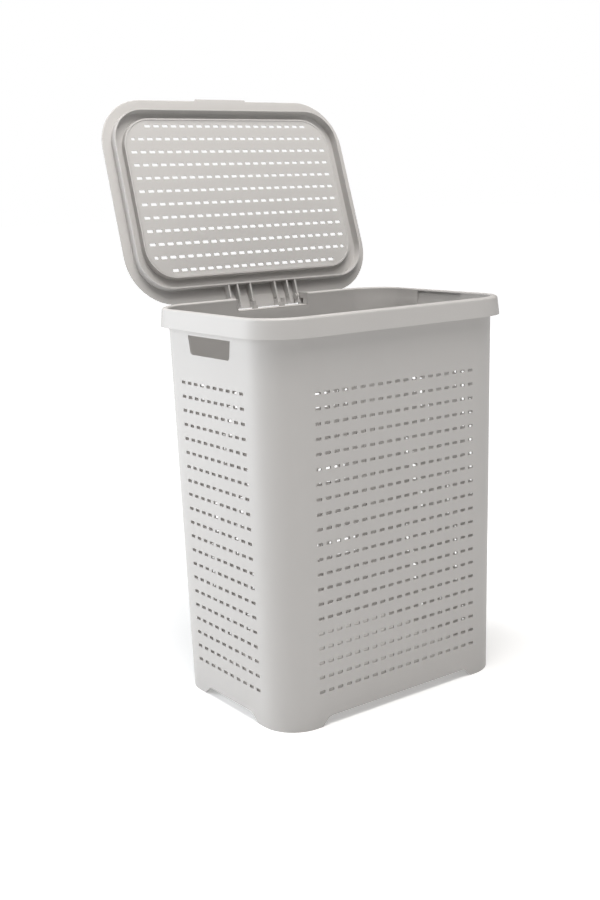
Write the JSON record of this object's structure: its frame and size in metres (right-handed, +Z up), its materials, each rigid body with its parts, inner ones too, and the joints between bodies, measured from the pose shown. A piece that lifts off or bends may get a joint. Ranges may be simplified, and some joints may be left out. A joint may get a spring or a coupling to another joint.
{
  "type": "laundry hamper with lid",
  "caption": "Tall tapered laundry basket with perforated walls, hand holes and a turned-down rim, and a flat perforated lid hinged at the back, standing open",
  "frame": {"origin": "on the floor, under the middle of the open hamper's bounding box", "axes": "+Z up, the long front side faces -Y, the hinge is at +Y, +X to the right seen from the front"},
  "size_m": [0.462, 0.4518, 0.8879],
  "materials": {
    "basket_plastic": "warm pale grey moulded polypropylene, satin with a very fine grain",
    "lid_plastic": "the same warm pale grey moulded polypropylene as the basket",
    "pin_plastic": "pale grey moulded plastic, satin"
  },
  "bodies": {
    "basket": {"basket_walls": "basket_plastic", "basket_base": "basket_plastic", "basket_rim": "basket_plastic", "hinge_bracket": "basket_plastic"},
    "lid": {"lid_frame": "lid_plastic", "lid_panel": "lid_plastic", "hinge_tongue": "lid_plastic", "hinge_pin_left": "pin_plastic", "hinge_pin_right": "pin_plastic"}
  },
  "joints": [
    {"name": "lid_hinge", "type": "hinge", "parent": "basket", "child": "lid", "pos_m": [0, 0.1146, 0.5635], "axis": [1, 0, 0], "range_deg": [0, 107.3]}
  ]
}
